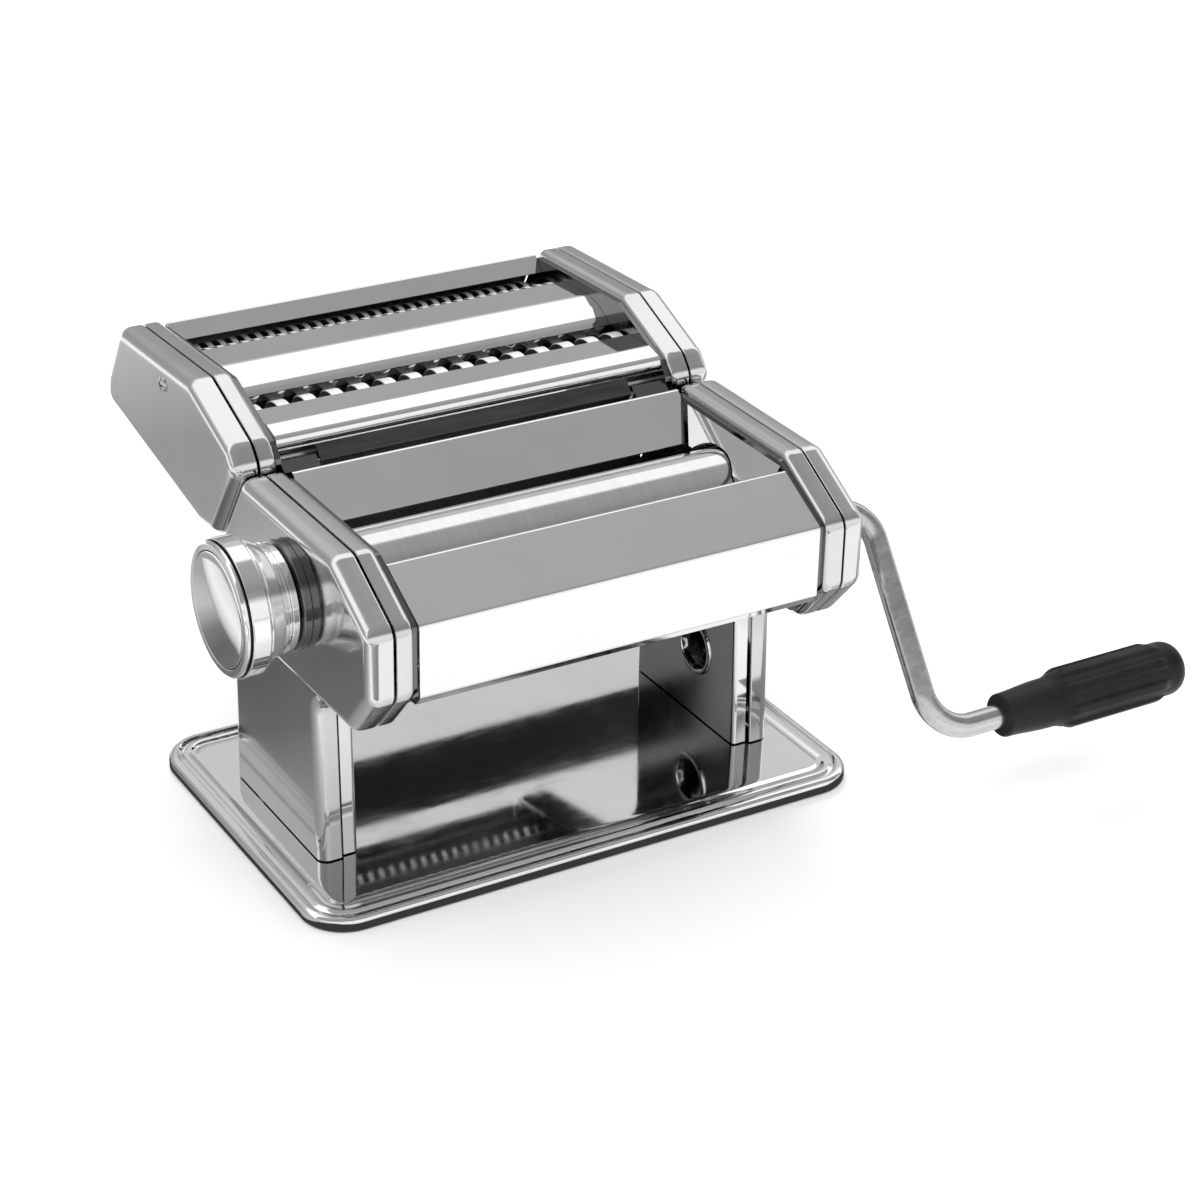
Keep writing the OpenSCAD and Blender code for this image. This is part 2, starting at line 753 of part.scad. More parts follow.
module fine_combs() {
    color("darkgray") {
        comb(fine_front, 5, fine_count - 1, fine_pitch, 1.4);
        comb(fine_rear, -5, fine_count - 2, fine_pitch, 1.4);
    }
}

module wide_combs() {
    color("darkgray") {
        comb(wide_front, 5, wide_count - 1, wide_pitch, 3.4);
        comb(wide_rear, -5, wide_count - 2, wide_pitch, 3.4);
    }
}

base_plate();
rubber_pad();
leg_screws();
left_side_frame();
right_side_frame();
left_leg_cover();
right_leg_cover();
left_body_band();
right_body_band();
left_body_cap();
right_body_cap();
body_cap_screw();
front_panel();
rear_cover();
hopper_cheeks();
tie_rods();
tie_rod_screws();
roller_scrapers();
front_roller_bushes();
knob_collar();
collar_nut();
docking_rails();
front_roller();
drive_gear();
crank_rod();
crank_grip();
rear_roller_bushes();
rear_roller();
idle_gear();
gap_shaft();
gap_cam();
knob_washer();
knob_body();
knob_cap();
detent_pin();
knob_spring();
cutter_left_side_plate();
cutter_right_side_plate();
cutter_left_band();
cutter_right_band();
cutter_left_cap();
cutter_right_cap();
cutter_cap_screws();
cutter_back_panel();
cutter_middle_panel();
cutter_front_bar();
cutter_tie_rods();
fine_combs();
wide_combs();
docking_channels();
cutter_bushes();
fine_front_cutter();
fine_rear_cutter();
wide_front_cutter();
wide_rear_cutter();
fine_front_gear();
fine_rear_gear();
wide_front_gear();
wide_rear_gear();
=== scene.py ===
"""Looks of the hand-cranked pasta roller: shells, panels, rollers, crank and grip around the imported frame.

Shapes are worked out in millimetres, in the frame's own axes, and scaled to metres as each mesh is made.
"""
import json
import math

import bmesh
import bpy
import numpy as np
from mathutils import Matrix, Vector


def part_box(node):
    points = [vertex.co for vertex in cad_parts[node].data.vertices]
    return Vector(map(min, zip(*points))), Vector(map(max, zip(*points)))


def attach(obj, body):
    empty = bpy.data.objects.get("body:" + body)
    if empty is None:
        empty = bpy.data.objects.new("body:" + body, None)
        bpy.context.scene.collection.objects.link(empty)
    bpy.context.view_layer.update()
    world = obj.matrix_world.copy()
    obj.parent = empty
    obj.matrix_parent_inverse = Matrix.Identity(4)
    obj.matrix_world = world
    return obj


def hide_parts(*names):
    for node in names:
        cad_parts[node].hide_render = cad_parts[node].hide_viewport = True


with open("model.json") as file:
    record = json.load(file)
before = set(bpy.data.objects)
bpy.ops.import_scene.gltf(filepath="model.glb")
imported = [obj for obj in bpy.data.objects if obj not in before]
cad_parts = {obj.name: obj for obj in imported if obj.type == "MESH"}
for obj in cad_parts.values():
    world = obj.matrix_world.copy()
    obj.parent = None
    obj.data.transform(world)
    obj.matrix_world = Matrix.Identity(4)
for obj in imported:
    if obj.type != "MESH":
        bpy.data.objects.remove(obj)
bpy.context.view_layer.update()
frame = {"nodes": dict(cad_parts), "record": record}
MM = 0.001

# ---------- driving sizes, in millimetres; places in a side view are (Y, Z) ----------

DOCK_ANGLE = math.radians(34)    # slope of the docking face between body and cutter head
DOCK_BODY = 79.0                 # distance of the body's docking face along its normal
DOCK_GAP = 1.5                   # room between the body and the cutter head
CORNER_R = 6.0                   # rounding of the end caps' outline
SEAM_GAP = 0.35                  # half the gap between a cap and its band
PANEL_T = 0.8                    # sheet thickness of the panels
FRONT_AXIS = (-51.5, 97.0)       # driven smooth roller, and the crank's root
REAR_AXIS = (-21.0, 97.0)        # adjustable smooth roller, and the thickness knob
FINE_FRONT_AXIS = (90.5, 121.8)
FINE_REAR_AXIS = (107.5, 116.8)
WIDE_FRONT_AXIS = (47.0, 118.5)
WIDE_REAR_AXIS = (64.0, 113.5)
CRANK_TILT = math.radians(36)    # the crank's arm from straight down, towards the front
CRANK_ARM = 78.0                 # roller's axis to grip's axis
CRANK_ARM_X = 104.0              # where the arm hangs
ROD_R = 4.0                      # the crank's round rod
LEG_HOLE = (-5.0, 31.6)          # round hole in each leg's inner wall
LEG_HOLE_R = 8.0
SOCKET_R = 4.1                   # keyed socket that takes the crank's rod
BODY_SCREW = (-69.0, 86.0)
CUTTER_SCREW = (72.0, 131.0)


def mm_box(node):
    """Lowest and highest corner of a CAD node, in millimetres."""
    low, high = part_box(node)
    return np.array(low) / MM, np.array(high) / MM


cap_low, cap_high = mm_box("right_body_cap")
band_low, band_high = mm_box("right_body_band")
CAP_X = cap_high[0]
SEAM_X = cap_low[0]
BAND_X = band_low[0]
SIDE_X = mm_box("right_side_frame")[0][0]
BODY_TOP = cap_high[2]
BASE_LOW, BASE_HIGH = mm_box("base_plate")
LEG_LOW, LEG_HIGH = mm_box("right_leg_cover")


def dock_y(z, offset):
    """Y of the docking face, at height z, at a distance along its normal."""
    return (offset - math.sin(DOCK_ANGLE) * z) / math.cos(DOCK_ANGLE)


BODY_OUTLINE = [
    (dock_y(BODY_TOP, DOCK_BODY), BODY_TOP), (-50, BODY_TOP), (-76, 107), (-76, 84),
    (-62, 68), (26, 67), (dock_y(86, DOCK_BODY), 86)]
CUTTER_OUTLINE = [
    (110, 137.5), (51, 140), (22, 128.5), (dock_y(121, DOCK_BODY + DOCK_GAP), 121),
    (dock_y(92, DOCK_BODY + DOCK_GAP), 92), (48, 91), (124.9, 106), (122.95, 116)]


# ---------- outlines and paths ----------

def unit(v):
    return v / np.linalg.norm(v)


def inset_outline(points, d):
    """A closed anticlockwise outline moved inwards by d."""
    p = np.array(points, float)
    moved = []
    for i in range(len(p)):
        before, after = unit(p[i] - p[i - 1]), unit(p[(i + 1) % len(p)] - p[i])
        n1, n2 = np.array((-before[1], before[0])), np.array((-after[1], after[0]))
        moved.append(p[i] + (n1 + n2) * d / (1 + n1 @ n2))
    return moved


def fillet(points, radii, steps=6, closed=False):
    """Rounds the corners of a path; radii is one number or one for each point."""
    p = [np.array(q, float) for q in points]
    count = len(p)
    radii = [radii] * count if np.isscalar(radii) else radii
    out = []
    for i, corner in enumerate(p):
        if (not closed and i in (0, count - 1)) or radii[i] <= 0:
            out.append(corner)
            continue
        a, c = p[i - 1], p[(i + 1) % count]
        u, v = unit(a - corner), unit(c - corner)
        half = math.acos(max(-1, min(1, float(u @ v)))) / 2
        if half > math.radians(89):
            out.append(corner)
            continue
        reach = min(radii[i] / math.tan(half), 0.48 * np.linalg.norm(a - corner),
                    0.48 * np.linalg.norm(c - corner))
        r = reach * math.tan(half)
        centre = corner + unit(u + v) * r / math.sin(half)
        start, end = corner + u * reach - centre, corner + v * reach - centre
        for k in range(steps + 1):
            out.append(centre + unit(start * (steps - k) + end * k) * r)
    return out


def sheet_outline(path, t, bend):
    """Closed outline of a folded sheet, with thickness t to the left of its path."""
    p = [np.array(q, float) for q in path]
    last = len(p) - 1
    other, radii_path, radii_other = [], [], []
    for i in range(last + 1):
        before = unit(p[max(i, 1)] - p[max(i, 1) - 1])
        after = unit(p[min(i, last - 1) + 1] - p[min(i, last - 1)])
        n1, n2 = np.array((-before[1], before[0])), np.array((-after[1], after[0]))
        other.append(p[i] + (n1 + n2) * t / (1 + n1 @ n2))
        turn = before[0] * after[1] - before[1] * after[0]
        if i in (0, last):
            radii_path.append(0.42 * t)
            radii_other.append(0.42 * t)
        else:
            radii_path.append(bend + (t if turn > 0 else 0))
            radii_other.append(bend + (0 if turn > 0 else t))
    return fillet(p + other[::-1], radii_path + radii_other[::-1], 7, closed=True)


def arc(cx, cy, r, a0, a1, steps):
    """Points along an arc, angles in degrees."""
    return [(cx + r * math.cos(math.radians(a)), cy + r * math.sin(math.radians(a)))
            for a in np.linspace(a0, a1, steps + 1)]


# ---------- meshes ----------

def new_object(name, verts, faces, smooth_angle=32):
    """An object made of vertices in millimetres, shaded smooth up to an angle."""
    mesh = bpy.data.meshes.new(name)
    mesh.from_pydata([tuple(float(c) * MM for c in v) for v in verts], [], faces)
    bm = bmesh.new()
    bm.from_mesh(mesh)
    bmesh.ops.remove_doubles(bm, verts=bm.verts, dist=1e-6)
    bmesh.ops.dissolve_degenerate(bm, edges=bm.edges, dist=1e-7)
    bmesh.ops.recalc_face_normals(bm, faces=bm.faces)
    bm.to_mesh(mesh)
    bm.free()
    obj = bpy.data.objects.new(name, mesh)
    bpy.context.scene.collection.objects.link(obj)
    shade(obj, smooth_angle)
    return obj


def shade(obj, smooth_angle=32):
    """Smooth shading, with sharp edges where faces meet at more than an angle."""
    mesh = obj.data
    mesh.polygons.foreach_set("use_smooth", [True] * len(mesh.polygons))
    mesh.set_sharp_from_angle(angle=math.radians(smooth_angle))
    if not any(m.type == "WEIGHTED_NORMAL" for m in obj.modifiers):
        weighted = obj.modifiers.new("even_normals", "WEIGHTED_NORMAL")
        weighted.keep_sharp = True
        weighted.weight = 60


def loft(name, rings, smooth_angle=32, loop=False):
    """Skins rings of points that all have the same count, and closes its ends unless it loops."""
    count = len(rings[0])
    verts = [v for ring in rings for v in ring]
    faces = []
    pairs = len(rings) if loop else len(rings) - 1
    for i in range(pairs):
        a, b = i * count, ((i + 1) % len(rings)) * count
        for j in range(count):
            k = (j + 1) % count
            faces.append((a + j, a + k, b + k, b + j))
    if not loop:
        faces.append(tuple(range(count)))
        faces.append(tuple(range(len(verts) - count, len(verts))))
    return new_object(name, verts, faces, smooth_angle)


def pressed(name, outline, radius, profile, place, steps=8):
    """A pressed shell: rings of one outline, each (inset, height) of the profile in turn."""
    rings = []
    for d, h in profile:
        corners = fillet(inset_outline(outline, d), max(radius - d, 0.5), steps, closed=True)
        rings.append([place(c[0], c[1], h) for c in corners])
    return loft(name, rings)


def side_place(side):
    """Puts an outline (Y, Z) and a height along X on the left (-1) or right (1)."""
    return lambda u, v, h: (side * h, u, v)


def extrude_x(name, outline, x0, x1):
    """A closed outline of (Y, Z) points, run from x0 to x1."""
    return loft(name, [[(x, p[0], p[1]) for p in outline] for x in (x0, x1)])


def bevel(obj, width):
    """Breaks the sharp edges of a CAD node that stays showing."""
    mod = obj.modifiers.new("soft_edges", "BEVEL")
    mod.width = width * MM
    mod.segments = 1
    mod.limit_method = "ANGLE"
    mod.angle_limit = math.radians(40)
    mod.harden_normals = False
    weighted = obj.modifiers.new("even_normals", "WEIGHTED_NORMAL")
    weighted.weight = 60


def lathe(name, profile, centre, segments=128):
    """Turns a profile of (x, radius) about a line along X through centre (y, z)."""
    turn = np.linspace(0, 2 * math.pi, segments, endpoint=False)
    rings = [[(x, centre[0] + max(r, 1e-3) * math.cos(a), centre[1] + max(r, 1e-3) * math.sin(a))
              for a in turn] for x, r in profile]
    return loft(name, rings)


def sweep(name, path, r, segments=48):
    """A round rod along a path of points."""
    p = [np.array(q, float) for q in path]
    tangents = [unit(p[min(i + 1, len(p) - 1)] - p[max(i - 1, 0)]) for i in range(len(p))]
    side = unit(np.cross(tangents[0], (0.3, 0.9, 0.2)))
    rings = []
    for at, t in zip(p, tangents):
        side = unit(side - t * (side @ t))
        up = np.cross(t, side)
        rings.append([at + r * (math.cos(a) * side + math.sin(a) * up)
                      for a in np.linspace(0, 2 * math.pi, segments, endpoint=False)])
    return loft(name, rings)


def join(name, parts):
    """Joins meshes into the first one, which keeps its modifiers."""
    first = parts[0]
    bm = bmesh.new()
    for part in parts:
        bm.from_mesh(part.data)
    bm.to_mesh(first.data)
    bm.free()
    for part in parts[1:]:
        bpy.data.objects.remove(part)
    first.name = name
    shade(first)
    return first


def cut(obj, tools):
    """Cuts tool shapes out of obj, and removes the tools."""
    for tool in tools:
        mod = obj.modifiers.new("cut", "BOOLEAN")
        mod.operation = "DIFFERENCE"
        mod.solver = "EXACT"
        mod.object = tool
    for other in [m for m in obj.modifiers if m.type in ("WEIGHTED_NORMAL", "BEVEL")]:
        obj.modifiers.remove(other)
    bpy.context.view_layer.update()
    evaluated = obj.evaluated_get(bpy.context.evaluated_depsgraph_get())
    mesh = bpy.data.meshes.new_from_object(evaluated)
    obj.modifiers.clear()
    obj.data = mesh
    for tool in tools:
        bpy.data.objects.remove(tool)
    shade(obj)
    return obj


def drill(at, r, x0, x1):
    """A round tool along X for cut()."""
    return lathe("drill", [(x0, 0), (x0, r), (x1, r), (x1, 0)], at, 96)


# ---------- materials ----------

class Nodes:
    """A short way to build a node material."""

    def __init__(self, name):
        self.material = bpy.data.materials.new(name)
        self.material.use_nodes = True
        self.tree = self.material.node_tree
        self.shader = self.tree.nodes["Principled BSDF"]
        self.place = self.add("ShaderNodeTexCoord").outputs["Object"]

    def add(self, kind, **values):
        node = self.tree.nodes.new(kind)
        for key, value in values.items():
            if key in node.inputs:
                node.inputs[key].default_value = value
            else:
                setattr(node, key, value)
        return node

    def link(self, a, b):
        self.tree.links.new(a, b)

    def stretched(self, scale):
        mapping = self.add("ShaderNodeMapping")
        mapping.inputs["Scale"].default_value = scale
        self.link(self.place, mapping.inputs["Vector"])
        return mapping.outputs["Vector"]

    def noise(self, scale, detail=3.0, stretch=None, roughness=0.55):
        node = self.add("ShaderNodeTexNoise", Scale=scale, Detail=detail, Roughness=roughness)
        self.link(self.stretched(stretch) if stretch else self.place, node.inputs["Vector"])
        return node.outputs["Fac"]

    def ramp(self, source, low, high, start=0.3, end=0.7):
        """Maps start..end of a source to low..high."""
        node = self.add("ShaderNodeMapRange")
        node.inputs["From Min"].default_value = start
        node.inputs["From Max"].default_value = end
        node.inputs["To Min"].default_value = low
        node.inputs["To Max"].default_value = high
        self.link(source, node.inputs["Value"])
        return node.outputs["Result"]

    def colours(self, source, dark, light):
        """Runs from dark to light over the middle of a noise's values."""
        node = self.add("ShaderNodeValToRGB")
        for element, position, colour in zip(node.color_ramp.elements, (0.3, 0.7), (dark, light)):
            element.position, element.color = position, (*colour, 1)
        self.link(source, node.inputs["Fac"])
        return node.outputs["Color"]

    def bump(self, source, strength, distance, under=None):
        node = self.add("ShaderNodeBump", Strength=strength, Distance=distance)
        self.link(source, node.inputs["Height"])
        if under is not None:
            self.link(under, node.inputs["Normal"])
        return node.outputs["Normal"]

    def math(self, operation, a, b):
        node = self.add("ShaderNodeMath", operation=operation)
        for socket, value in zip(node.inputs, (a, b)):
            if isinstance(value, (int, float)):
                socket.default_value = value
            else:
                self.link(value, socket)
        return node.outputs["Value"]

    def set(self, socket, value):
        """Sets a shader socket to a constant, or links it."""
        if hasattr(value, "links"):
            self.link(value, self.shader.inputs[socket])
        else:
            self.shader.inputs[socket].default_value = value


def polished(name, dark, light, rough=(0.03, 0.07), wave=0.006):
    """Polished plate: faint smears in its gloss, faint waves in its surface and a light grain."""
    n = Nodes(name)
    n.set("Metallic", 1.0)
    smear = n.noise(38, 4, roughness=0.65)
    n.set("Base Color", n.colours(n.noise(14, 3), dark, light))
    scratch = n.noise(420, 2, stretch=(0.25, 1.0, 1.0))
    n.set("Roughness", n.math("ADD", n.ramp(smear, rough[0], rough[1]),
                              n.ramp(scratch, 0.0, 0.025, 0.45, 0.75)))
    waves = n.bump(n.noise(30, 1), wave, 0.0006)
    n.set("Normal", n.bump(scratch, 0.02, 0.00003, waves))
    return n.material


def brushed(name, dark, light, rough, stretch, depth=0.18, metallic=1.0):
    """Brushed or turned metal with lines along one direction."""
    n = Nodes(name)
    n.set("Metallic", metallic)
    lines = n.noise(300, 4, stretch=stretch, roughness=0.7)
    n.set("Base Color", n.colours(lines, dark, light))
    n.set("Roughness", n.math("ADD", n.ramp(lines, rough[0], rough[1]),
                              n.ramp(n.noise(45, 3), -0.03, 0.05)))
    n.set("Normal", n.bump(lines, depth, 0.00006))
    return n.material


def moulded(name, dark, light, rough, pebble=1400, shine=0.5):
    """Moulded plastic, nylon or rubber with a fine pebbled skin and rubbed patches."""
    n = Nodes(name)
    skin = n.noise(pebble, 3, roughness=0.6)
    n.set("Specular IOR Level", shine)
    n.set("Base Color", n.colours(n.noise(55, 4), dark, light))
    n.set("Roughness", n.math("ADD", n.ramp(n.noise(70, 4), rough[0], rough[1]),
                              n.ramp(skin, -0.05, 0.05)))
    n.set("Normal", n.bump(skin, 0.35, 0.00012))
    return n.material


def grey(level):
    """A neutral metal colour, a touch cool."""
    return (level, level, level * 1.01)


MATERIALS = {
    "polished_steel": polished("polished_steel", grey(0.74), grey(0.82)),
    # plated_steel is painted shade: darkened far below bright plating so the side frames' inner walls and
    # the knob collar look shaded
    "plated_steel": polished("plated_steel", grey(0.13), grey(0.20), (0.09, 0.17), 0.01),
    "fastener_steel": brushed("fastener_steel", grey(0.42), grey(0.60), (0.2, 0.34), (0.1, 1, 1)),
    "gear_steel": brushed("gear_steel", grey(0.26), grey(0.42), (0.28, 0.42), (0.05, 1, 1)),
    "roller_steel": brushed("roller_steel", grey(0.66), grey(0.72), (0.05, 0.09), (1, 0.02, 0.02),
                            0.015),
    "crank_steel": brushed("crank_steel", grey(0.46), grey(0.60), (0.16, 0.26), (0.3, 1, 1), 0.08),
    "spring_steel": brushed("spring_steel", grey(0.36), grey(0.5), (0.25, 0.35), (1, 1, 0.1)),
    "bearing_nylon": moulded("bearing_nylon", (0.62, 0.60, 0.54), (0.74, 0.72, 0.66),
                             (0.38, 0.5)),
    "grip_plastic": moulded("grip_plastic", (0.006, 0.006, 0.007), (0.016, 0.016, 0.017),
                            (0.36, 0.50), shine=0.16),
    "pad_rubber": moulded("pad_rubber", (0.012, 0.012, 0.012), (0.03, 0.03, 0.03), (0.6, 0.8),
                          900),
}
# finishes that differ from their slot's main one: caps, bands and leg covers, disc rims; and painted shade
# for inner faces
SATIN = polished("satin_cap", grey(0.62), grey(0.70), (0.09, 0.16), 0.01)
BAND = polished("band_steel", grey(0.58), grey(0.68), (0.06, 0.12), 0.01)
RIM = brushed("cutter_rim", grey(0.78), grey(0.88), (0.26, 0.34), (1, 0.03, 0.03), 0.03, 0.45)
# painted shade: a near-black steel put where shade falls, on inner faces, the apron, the cutter cores and
# the knob's seam groove
PAINTED_SHADE = brushed("painted_shade_inside", grey(0.07), grey(0.12), (0.42, 0.55), (0.1, 1, 1), 0.05)


def paint(obj, material, wanted):
    """Faces for which wanted(centre in mm, normal) is true get another material."""
    obj.data.materials.append(material)
    for face in obj.data.polygons:
        if wanted(np.array(face.center) / MM, np.array(face.normal)):
            face.material_index = 1


def finish_piece(obj, body, slot, *nodes, material=None):
    """Gives a new piece its body and its material, the slot's own unless another is given, and hides the CAD
    nodes that it stands for.
    """
    obj.data.materials.clear()
    obj.data.materials.append(material or MATERIALS[slot])
    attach(obj, body)
    if nodes:
        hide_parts(*nodes)
    return obj


for part in frame["record"]["subparts"]:
    cad = frame["nodes"][part["node"]]
    cad.data.materials.clear()
    cad.data.materials.append(MATERIALS[part["material_slot"]])


# ---------- camera, floor and light ----------

CAMERA_AT = (-0.4149, -0.7517, 0.5038)      # metres
CAMERA_RIGHT = (0.8634, -0.5042, 0.0180)    # 31 degrees round to the left, and rolled 1 degree
CAMERA_BACK = (-0.4574, -0.7639, 0.4555)    # looks down by 27 degrees
CAMERA_LENS = 88.3


def make_camera():
    """A camera at the photograph's viewing angle."""
    data = bpy.data.cameras.new("camera")
    data.lens = CAMERA_LENS
    data.sensor_width = 36
    data.clip_end = 30
    camera = bpy.data.objects.new("camera", data)
    right, back = Vector(CAMERA_RIGHT).normalized(), Vector(CAMERA_BACK).normalized()
    up = back.cross(right).normalized()
    right = up.cross(back)
    camera.matrix_world = Matrix.Translation(CAMERA_AT) @ Matrix(
        (right, up, back)).transposed().to_4x4()
    bpy.context.scene.collection.objects.link(camera)
    bpy.context.scene.camera = camera


def make_floor():
    """A plain pale floor, far wider than any view."""
    size = 9.0
    mesh = bpy.data.meshes.new("floor")
    mesh.from_pydata([(-size, -size, 0), (size, -size, 0), (size, size, 0), (-size, size, 0)],
                     [], [(0, 1, 2, 3)])
    floor = bpy.data.objects.new("floor", mesh)
    bpy.context.scene.collection.objects.link(floor)
    n = Nodes("floor")
    n.set("Base Color", (0.9, 0.9, 0.9, 1))
    n.set("Roughness", 0.75)
    mesh.materials.append(n.material)


def fill_ramp(node, stops):
    """Sets a colour ramp to grey levels at given positions, in rising order."""
    elements = node.color_ramp.elements
    for element, (position, level) in ((elements[0], stops[0]), (elements[-1], stops[-1])):
        element.position, element.color = position, (level, level, level, 1)
    for position, level in stops[1:-1]:
        elements.new(position).color = (level, level, level, 1)


def make_world():
    """A studio that shines plain white on everything, with soft grey and white bands to reflect.

    The bands run along X: their angle goes from the horizon behind (0) over the top (0.5) to the
    horizon in front (1). They show only in reflections, and the backdrop itself is white.
    """
    world = bpy.data.worlds.new("studio")
    bpy.context.scene.world = world
    world.use_nodes = True
    tree = world.node_tree
    tree.nodes.clear()
    add = tree.nodes.new
    place = add("ShaderNodeTexCoord")
    split = add("ShaderNodeSeparateXYZ")
    angle = add("ShaderNodeMath")
    angle.operation = "ARCTAN2"
    share = add("ShaderNodeMath")
    share.operation = "DIVIDE"
    share.inputs[1].default_value = math.pi
    ramp = add("ShaderNodeValToRGB")
    stops = [(0.0, 0.5), (0.10, 0.42), (0.15, 0.52), (0.166, 0.62), (0.178, 0.70), (0.206, 0.72),
             (0.222, 0.66), (0.235, 0.68), (0.26, 1.35), (0.43, 1.35), (0.46, 0.50), (0.50, 0.44),
             (0.60, 0.42), (0.66, 0.40), (0.74, 0.32), (0.80, 0.40), (0.86, 1.15), (1.0, 1.1)]
    fill_ramp(ramp, stops)
    seen = add("ShaderNodeLightPath")
    mix = add("ShaderNodeMix")
    mix.data_type = "RGBA"
    mix.inputs["A"].default_value = (1.10, 1.10, 1.10, 1)
    beyond = add("ShaderNodeMix")
    beyond.data_type = "RGBA"
    beyond.inputs["B"].default_value = (1, 1, 1, 1)
    shine = add("ShaderNodeBackground")
    out = add("ShaderNodeOutputWorld")
    link = tree.links.new
    link(place.outputs["Generated"], split.inputs[0])
    link(split.outputs["Z"], angle.inputs[0])
    link(split.outputs["Y"], angle.inputs[1])
    link(angle.outputs["Value"], share.inputs[0])
    link(share.outputs["Value"], ramp.inputs["Fac"])
    link(seen.outputs["Is Glossy Ray"], mix.inputs["Factor"])
    link(ramp.outputs["Color"], mix.inputs["B"])
    link(seen.outputs["Is Camera Ray"], beyond.inputs["Factor"])
    link(mix.outputs["Result"], beyond.inputs["A"])
    link(beyond.outputs["Result"], shine.inputs["Color"])
    link(shine.outputs["Background"], out.inputs["Surface"])


def reflector(name, corners, along, tones):
    """A studio card seen only in reflections; tones are (millimetres along an axis, level)."""
    mesh = bpy.data.meshes.new(name)
    mesh.from_pydata([tuple(c * MM for c in corner) for corner in corners], [], [(0, 1, 2, 3)])
    card = bpy.data.objects.new(name, mesh)
    bpy.context.scene.collection.objects.link(card)
    n = Nodes(name)
    split = n.add("ShaderNodeSeparateXYZ")
    n.link(n.place, split.inputs[0])
    start, end = tones[0][0], tones[-1][0]
    share = n.ramp(split.outputs[along], 0, 1, start * MM, end * MM)
    ramp = n.add("ShaderNodeValToRGB")
    fill_ramp(ramp, [((at - start) / (end - start), level) for at, level in tones])
    n.link(share, ramp.inputs["Fac"])
    glow = n.add("ShaderNodeEmission")
    n.link(ramp.outputs["Color"], glow.inputs["Color"])
    n.link(glow.outputs["Emission"], n.tree.nodes["Material Output"].inputs["Surface"])
    mesh.materials.append(n.material)
    card.visible_camera = card.visible_diffuse = card.visible_shadow = False


def area_light(name, at, target, size, power):
    """A soft light that makes shadows but no highlight of its own."""
    data = bpy.data.lights.new(name, "AREA")
    data.shape = "RECTANGLE"
    data.size, data.size_y = size
    data.energy = power
    light = bpy.data.objects.new(name, data)
    light.location = at
    light.rotation_euler = (Vector(target) - Vector(at)).to_track_quat("-Z", "Y").to_euler()
    light.visible_glossy = False
    bpy.context.scene.collection.objects.link(light)


make_camera()
make_floor()
make_world()
bpy.context.scene.view_settings.view_transform = "Standard"    # keeps the white floor white
area_light("key", (-0.9, -0.9, 1.9), (0, 0, 0.05), (1.3, 0.9), 9)
area_light("fill", (1.3, -0.5, 1.4), (0, 0, 0.05), (0.8, 0.8), 3.5)
area_light("back", (0.3, 1.3, 1.5), (0, 0, 0.05), (0.9, 0.5), 14)
# card_under is painted shade: a near-black card under the base that stands in for the shade at the base's
# foot in its reflections
reflector("card_under", [(-106, -71, 0.3), (106, -71, 0.3), (106, 71, 0.3), (-106, 71, 0.3)], "X",
          [(-106, 0.05), (106, 0.05)])
# card_behind is painted shade: near black, it stands in for the shaded space under the cutter head in
# reflections
reflector("card_behind", [(-20, 128, 74), (200, 128, 74), (200, 128, 104), (-20, 128, 104)], "X",
          [(-20, 0.01), (142, 0.02), (164, 0.30), (200, 0.36)])
reflector("card_left", [(-101, -110, 1), (-420, -110, 1), (-420, 520, 1), (-101, 520, 1)], "Y",
          [(-110, 1.0), (-40, 0.50), (15, 0.36), (60, 0.20), (105, 0.16), (130, 0.24), (150, 0.46),
           (165, 0.62), (185, 0.60), (215, 0.46), (300, 0.42), (380, 0.60), (520, 0.9)])
reflector("card_left_front", [(-120, -620, 1), (-700, -620, 1), (-700, -165, 1), (-120, -165, 1)],
          "X", [(-700, 0.95), (-420, 0.50), (-300, 0.78), (-200, 0.42), (-120, 0.30)])
reflector("card_right", [(104, -80, 1), (700, -80, 1), (700, 520, 1), (104, 520, 1)], "X",
          [(104, 0.26), (150, 0.40), (215, 0.82), (270, 0.60), (400, 0.42), (520, 0.62), (700, 1.0)])
reflector("card_knob", [(-194, 60, 2), (-310, 60, 2), (-310, 262, 2), (-194, 262, 2)], "X",
          [(-310, 0.70), (-270, 0.95), (-228, 1.10), (-206, 0.80), (-194, 0.36)])


# ---------- base ----------

def make_base():
    """The base's pressed plate: rolled rim, groove, raised bead, step, then the flat."""
    length, depth = BASE_HIGH[0] - BASE_LOW[0], BASE_HIGH[1] - BASE_LOW[1]
    outline = [(length / 2, -depth / 2), (length / 2, depth / 2),
               (-length / 2, depth / 2), (-length / 2, -depth / 2)]
    low, top = BASE_LOW[2], BASE_HIGH[2]
    flat = top - 0.2
    profile = ([(9, flat - 1.1), (2.2, flat - 1.2), (1.2, flat - 2.0), (1.2, low + 0.1), (1.0, low),
                (0.2, low), (0, low + 0.3), (0, 3.0)]
               + [(1.9 - y, z) for y, z in arc(0, 3.1, 1.9, 0, 90, 7)][1:]
               + [(2.6, top - 0.2)]
               + [(3.1, top - 0.75), (3.7, top - 1.0), (4.3, top - 0.75)]
               + [(5.0, top - 0.1), (5.6, top), (6.6, top), (7.3, top - 0.25), (8.0, flat - 0.35),
                  (8.8, flat - 0.45), (9.6, flat - 0.1), (10.4, flat), (12, flat), (20, flat)])
    base = pressed("base_shell", outline, 15, profile, lambda u, v, h: (u, v, h), 14)
    finish_piece(base, "frame", "polished_steel", "base_plate")


# ---------- legs ----------

